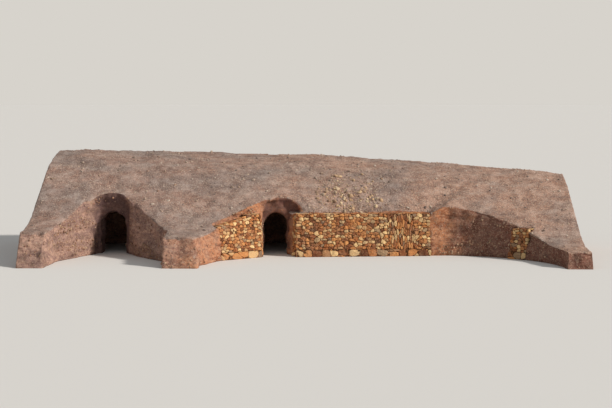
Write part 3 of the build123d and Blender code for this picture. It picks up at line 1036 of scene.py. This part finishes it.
def turned(normals, chance):
    """Random turns about each normal, leaning a little, as rows of axes."""
    up = normals + chance.normal(scale=LEAN, size=normals.shape)
    up /= np.linalg.norm(up, axis=1)[:, None]
    side = np.cross(up, chance.normal(size=normals.shape))
    side /= np.linalg.norm(side, axis=1)[:, None]
    return np.stack([side, np.cross(up, side), up], axis=1)


def gravel_mesh(name, places, normals, sizes, rounds, chance, tone_range=(0.0, 1.0)):
    """Stones of a few kinds as one mesh."""
    points, faces, tones, start = [], [], [], 0
    kinds = chance.integers(0, ROCK_KINDS, len(places))
    for kind in range(ROCK_KINDS):
        shape, triangles = rock_shape(rounds, chance)
        chosen = kinds == kind
        count = chosen.sum()
        axes = turned(normals[chosen], chance)
        made = np.einsum("pk,nkj->npj", shape, axes) * sizes[chosen][:, None, None]
        made += places[chosen][:, None]
        made[:, :, 2] = np.maximum(made[:, :, 2], LOW[2])
        points.append(made.reshape(-1, 3))
        offsets = start + np.arange(count)[:, None, None] * len(shape)
        faces.append((triangles[None] + offsets).reshape(-1, 3))
        tones.append(np.repeat(chance.uniform(*tone_range, count), len(shape)))
        start += count * len(shape)
    mesh = new_mesh(name, np.vstack(points), [np.vstack(faces)])
    add_values(mesh, "tone", np.concatenate(tones))
    return mesh


def scatter(name, style, weight, bank, material, chance):
    """Stones half sunk in the bank's surface, at random places that a weight for each face favours."""
    count, (smallest, largest) = style["count"], style["sizes"]
    chosen = bank.quads[chance.choice(len(bank.quads), count, p=weight / weight.sum())]
    corners = bank.points[chosen]
    shares = chance.uniform(size=(count, 2, 1))
    left = corners[:, 0] * (1 - shares[:, 0]) + corners[:, 3] * shares[:, 0]
    right = corners[:, 1] * (1 - shares[:, 0]) + corners[:, 2] * shares[:, 0]
    places = left * (1 - shares[:, 1]) + right * shares[:, 1]
    facing = bank.normals[chosen].mean(axis=1)
    sizes = smallest * (largest / smallest) ** (chance.uniform(size=count) ** SMALL_BIAS)
    places += facing * sizes[:, None] * chance.uniform(*SINKING, (count, 1))
    mesh = gravel_mesh(name, places, facing, sizes, style["rounds"], chance)
    place_piece(name, mesh, material)


def stone_weights(bank):
    """How much each face of the bank favours gravel on the slope, rubble, and pebbles in dug faces."""
    corners = bank.points[bank.quads]
    middles, dug = corners.mean(axis=1), bank.dug[bank.quads].mean(axis=1)
    x, y = middles[:, 0], middles[:, 1]
    areas = np.linalg.norm(np.cross(corners[:, 2] - corners[:, 0], corners[:, 3] - corners[:, 1]), axis=1)
    clear = np.abs(corners[:, :, 0]).max(axis=1) < HIGH[0] - END_CLEARANCE
    clear &= ~bank.grounded[bank.quads].any(axis=1)
    ground = dug < DUG_START
    rim = (dug > RIM_START) & ground
    patches = heights(middles, 0.45, size=0.9, octaves=2, seed=61)
    patchy = np.clip(PATCHES_MEAN + patches, PATCHES_LEAST, 1)

    wall_start, wall_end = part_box("long_wall_west_bay")[0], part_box("long_wall_east_bay")[1]
    rubble_end = wall_end.y + RUBBLE_REACH
    above_wall = (x > wall_start.x) & (x < wall_end.x) & (y < rubble_end)
    heap = wall_start.x + HEAP_MIDDLE * (wall_end.x - wall_start.x)
    slope = areas * clear * patchy * ground * (1 + RUBBLE_SHARE * (above_wall | rim))
    rubble = areas * above_wall * patchy * ground
    rubble *= ramp(HEAP_HALF_WIDTH - np.abs(x - heap), 0.0, HEAP_EDGE)
    rubble *= ramp(rubble_end - y, 0.0, RUBBLE_REACH)

    in_front = (bank.normals[bank.quads].mean(axis=1)[:, 1] < FACING_BACK) & ~inside_rooms(middles)
    layers = fractal(middles, size=0.4, octaves=3, seed=65, stretch=(5, 5, 1))
    beds = BEDS_LEAST + ramp(layers, 0.0, BEDS_FULL)
    thinned = 1 - HEADWALL_THINNING * near_headwalls(middles)
    pebbles = areas * clear * in_front * beds * (dug > DUG_START) * thinned
    return slope, rubble, pebbles


def loose_stones(bank):
    """Gravel and stones on the slope, rubble above the long wall, and pebbles in the dug faces."""
    slope_stone = stone_material("slope_stone", SLOPE_TONES, dust=0.6)
    earth_pebble = stone_material("earth_pebble", PEBBLE_TONES, dust=0.6)
    spilled_stone = stone_material("spilled_stone", RUBBLE_TONES, dust=0.5)
    slope, rubble, pebbles = stone_weights(bank)
    chance = np.random.default_rng(seed=201)
    scatter("slope_gravel", SLOPE_GRAVEL, slope, bank, slope_stone, chance)
    scatter("slope_stones", SLOPE_STONES, slope, bank, slope_stone, chance)
    scatter("face_pebbles", FACE_PEBBLES, pebbles, bank, earth_pebble, chance)
    scatter("wall_rubble", WALL_RUBBLE, rubble, bank, spilled_stone, chance)


# Stage: azimuth 0 is in front of the dwelling and 90 is to the east

CAMERA_PLACE = (1.0, 4.5)
CAMERA_DISTANCE = 60.0
FRAME_SHARE = 0.95
SENSOR_WIDTH = 36.0
SUN_PLACE = (70.0, 32.0)
SUN_STRENGTH = 3.3
SUN_SPREAD = 6.0
SUN_COLOUR = (1.0, 0.965, 0.92)
SKY_STRENGTH = 0.37
SKY_COLOUR = (0.90, 0.95, 1.0, 1)
SKY_SEEN = (215, 211, 204)
FLOOR_RADIUS = 400.0
FLOOR_SIDES = 96
FLOOR_GAP = 0.001


def direction(azimuth, elevation):
    """From the dwelling towards a place round it, given in degrees."""
    azimuth, elevation = math.radians(azimuth), math.radians(elevation)
    level = math.cos(elevation)
    return Vector((math.sin(azimuth) * level, -math.cos(azimuth) * level, math.sin(elevation)))


def aimed(name, data, back):
    """A new object in the scene that looks away from a direction."""
    made = in_scene(name, data)
    made.rotation_mode = "QUATERNION"
    made.rotation_quaternion = (-back).to_track_quat("-Z", "Y")
    return made


def add_camera():
    """A long lens at the photograph's low angle, with the whole width in view."""
    low, high = cad_box
    back = direction(*CAMERA_PLACE)
    camera = aimed("camera", bpy.data.cameras.new("camera"), back)
    camera.location = (low + high) / 2 + back * CAMERA_DISTANCE
    near = CAMERA_DISTANCE - (high.y - low.y) / 2
    width = (high.x - low.x) / FRAME_SHARE
    camera.data.sensor_width = SENSOR_WIDTH
    camera.data.lens = SENSOR_WIDTH * near / width
    camera.data.clip_end = 10 * FLOOR_RADIUS
    bpy.context.scene.camera = camera


def add_sun():
    """A soft sun from the right."""
    sun = aimed("sun", bpy.data.lights.new("sun", "SUN"), direction(*SUN_PLACE))
    sun.data.energy, sun.data.angle = SUN_STRENGTH, math.radians(SUN_SPREAD)
    sun.data.color = SUN_COLOUR


def add_sky():
    """A plain pale sky, of the floor's tone where it is seen."""
    world = bpy.data.worlds.new("sky")
    bpy.context.scene.world = world
    world.use_nodes = True
    nodes, links = world.node_tree.nodes, world.node_tree.links
    rays = nodes.new("ShaderNodeLightPath")
    seen_share = rays.outputs["Is Camera Ray"]
    for kind in ("Is Glossy Ray", "Is Transmission Ray"):
        either = nodes.new("ShaderNodeMath")
        either.operation = "MAXIMUM"
        links.new(seen_share, either.inputs[0])
        links.new(rays.outputs[kind], either.inputs[1])
        seen_share = either.outputs["Value"]
    lit, seen = nodes["Background"], nodes.new("ShaderNodeBackground")
    lit.inputs["Color"].default_value = SKY_COLOUR
    lit.inputs["Strength"].default_value = SKY_STRENGTH
    seen.inputs["Color"].default_value = rgb(SKY_SEEN)
    choice = nodes.new("ShaderNodeMixShader")
    for index, source in enumerate((seen_share, lit.outputs[0], seen.outputs[0])):
        links.new(source, choice.inputs[index])
    links.new(choice.outputs["Shader"], nodes["World Output"].inputs["Surface"])


def add_floor():
    """A wide round floor just under the bank's base."""
    edit = bmesh.new()
    bmesh.ops.create_circle(edit, cap_ends=True, radius=FLOOR_RADIUS, segments=FLOOR_SIDES)
    mesh = bpy.data.meshes.new("floor")
    edit.to_mesh(mesh)
    edit.free()
    mesh.materials.append(floor_material())
    floor = in_scene("floor", mesh)
    floor.location.z = cad_box[0].z - FLOOR_GAP


def colour_wall_cores():
    """Gives the walls' nodes, which show between the stones, their dark earth."""
    core = core_material()
    for name in WALL_NODES:
        mesh = frame["nodes"][name].data
        mesh.materials.clear()
        mesh.materials.append(core)


def main():
    """Makes the stage, the bank, the walls' stones and the loose stones."""
    bpy.context.scene.view_settings.view_transform = "Standard"
    add_camera()
    add_sun()
    add_sky()
    add_floor()
    colour_wall_cores()
    bank = eroded_bank()
    earth = BankFinish().complete()
    bank_stretches(bank, earth)
    bank_base(bank, earth)
    golden = stone_material("golden_field_stone", GOLDEN_TONES, dust=0.35)
    long_wall_stones(golden)
    left_wall_stones(golden)
    stub_wall_stones(golden)
    loose_stones(bank)


main()
